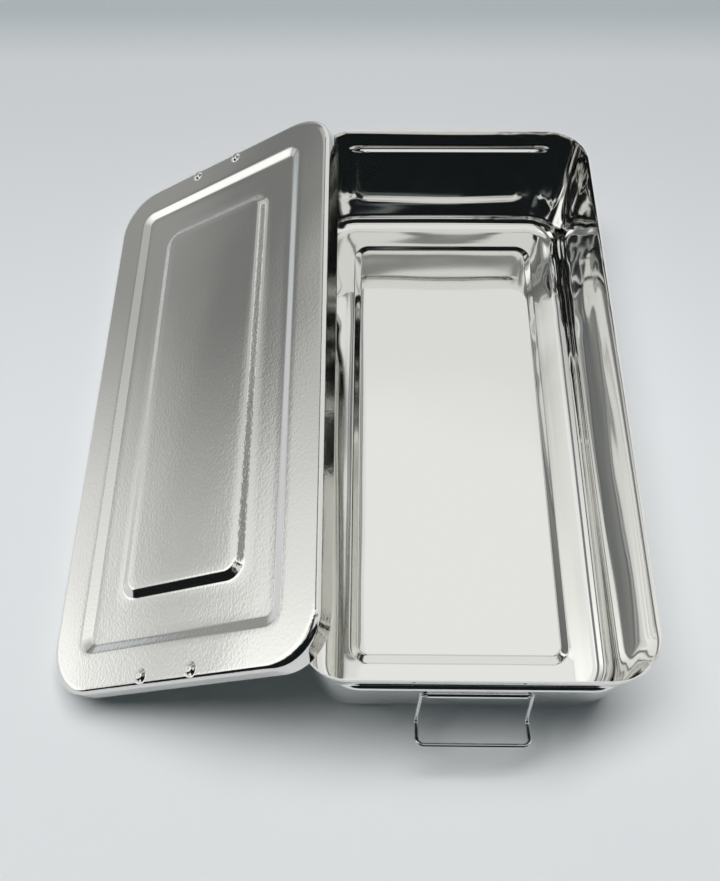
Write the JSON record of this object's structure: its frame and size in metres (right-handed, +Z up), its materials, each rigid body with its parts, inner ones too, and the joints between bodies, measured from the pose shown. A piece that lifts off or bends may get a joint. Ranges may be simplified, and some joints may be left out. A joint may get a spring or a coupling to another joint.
{
  "type": "instrument sterilization container",
  "caption": "Deep drawn rectangular metal tray with a raised floor panel, a loose stepped lid leaned on its side, and a swinging wire bail in a hinge strap at each end.",
  "frame": {"origin": "middle of the pan's footprint, on the surface that the container stands on", "axes": "+Z up, +Y along the pan to its far end, +X across the pan away from the leaned lid"},
  "size_m": [0.2787, 0.3411, 0.0909],
  "materials": {
    "pan_steel": "mirror polished stainless sheet",
    "lid_steel": "fine satin with a soft orange peel",
    "strap_steel": "polished strip, spot welded",
    "bail_wire": "bright drawn stainless wire"
  },
  "bodies": {
    "pan": {"box_pan": "pan_steel", "near_hinge_strap": "strap_steel", "far_hinge_strap": "strap_steel"},
    "lid": {"lid_cover": "lid_steel"},
    "near_bail": {"near_bail": "bail_wire"},
    "far_bail": {"far_bail": "bail_wire"}
  },
  "joints": [
    {"name": "lid_lift", "type": "slide", "parent": "pan", "child": "lid", "axis": [0, 0, 1], "range_m": [0, 0.12]},
    {"name": "near_bail_swing", "type": "hinge", "parent": "pan", "child": "near_bail", "pos_m": [0.0015, -0.15348, 0.05049], "axis": [-1, 0, 0], "range_deg": [-15, 155.6]},
    {"name": "far_bail_swing", "type": "hinge", "parent": "pan", "child": "far_bail", "pos_m": [0.0015, 0.15348, 0.05049], "axis": [1, 0, 0], "range_deg": [-2, 168.6]}
  ]
}
